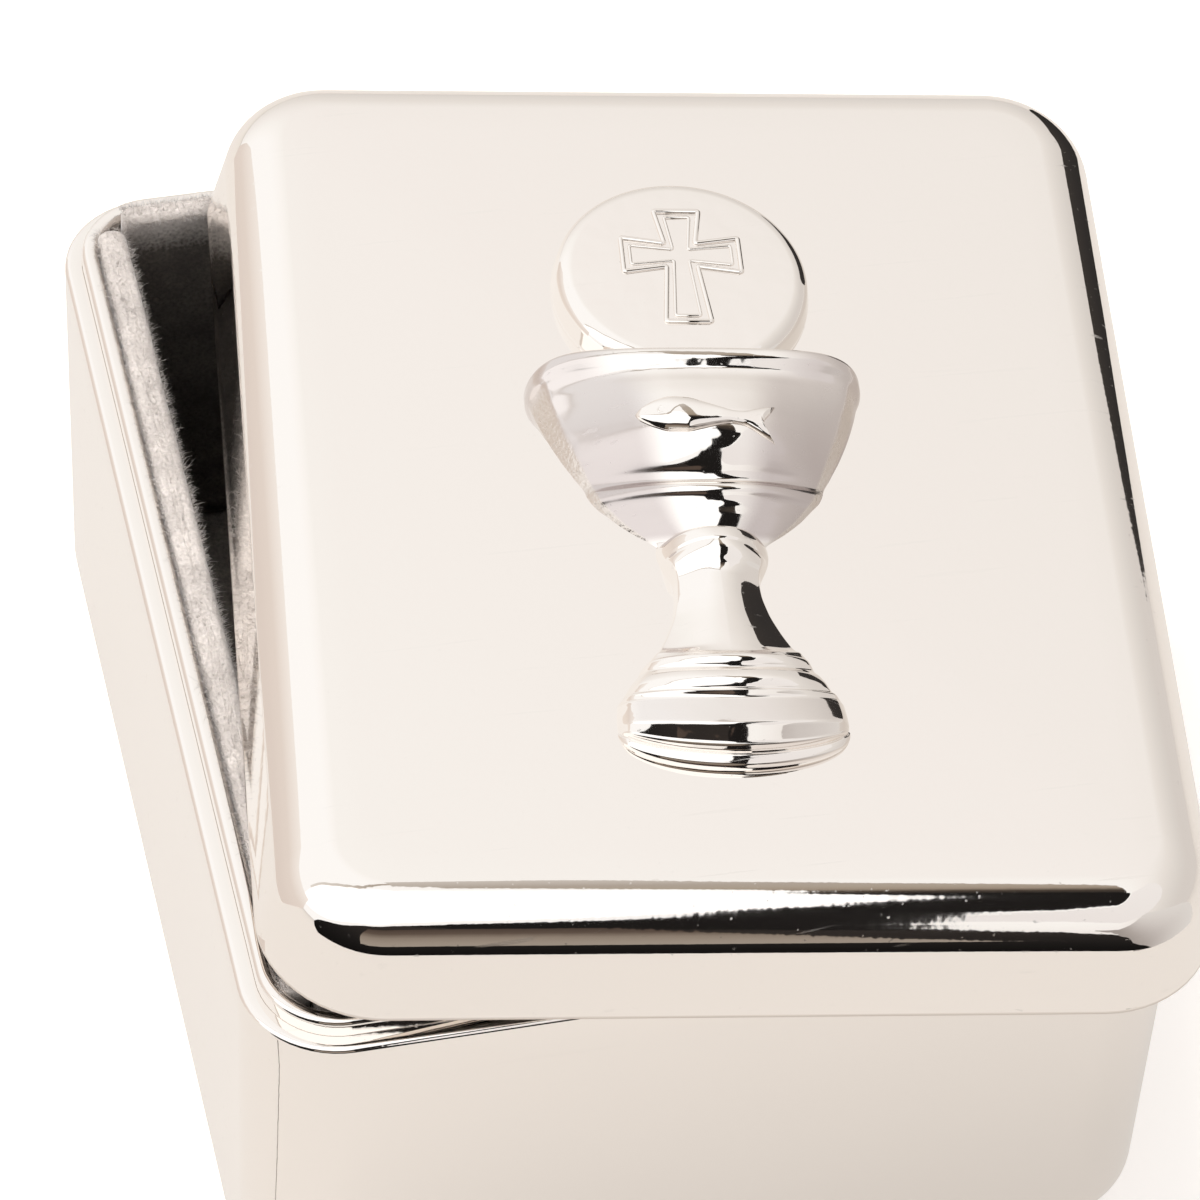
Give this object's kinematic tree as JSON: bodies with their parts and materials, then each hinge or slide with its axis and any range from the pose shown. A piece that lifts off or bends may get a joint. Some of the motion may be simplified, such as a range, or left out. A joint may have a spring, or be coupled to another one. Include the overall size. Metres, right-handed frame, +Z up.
{
  "type": "communion keepsake box",
  "caption": "Small silver-plated box with rounded corners, a felt lining and a loose lift-off lid that carries a chalice in relief.",
  "frame": {"origin": "middle of the flat underside of the box", "axes": "+Z up, +Y from the front wall to the back wall along the box's length, +X to the right as seen from the front. The chalice on the lid stands upright towards +Y."},
  "size_m": [0.0595, 0.069, 0.0411],
  "materials": {
    "silver_plate": "polished silver plate on thin metal",
    "cast_silver_plate": "polished silver plate on a casting",
    "grey_felt": "short grey felt"
  },
  "bodies": {
    "box": {"box_shell": "silver_plate", "rim_collar": "silver_plate", "lining_floor": "grey_felt", "lining_left": "grey_felt", "lining_right": "grey_felt", "lining_front": "grey_felt", "lining_back": "grey_felt"},
    "lid": {"lid_shell": "silver_plate", "lid_lining": "grey_felt", "chalice_ornament": "cast_silver_plate"}
  },
  "joints": [
    {"name": "lid_lift", "type": "slide", "parent": "box", "child": "lid", "axis": [0, 0, 1], "range_m": [0, 0.05]}
  ]
}
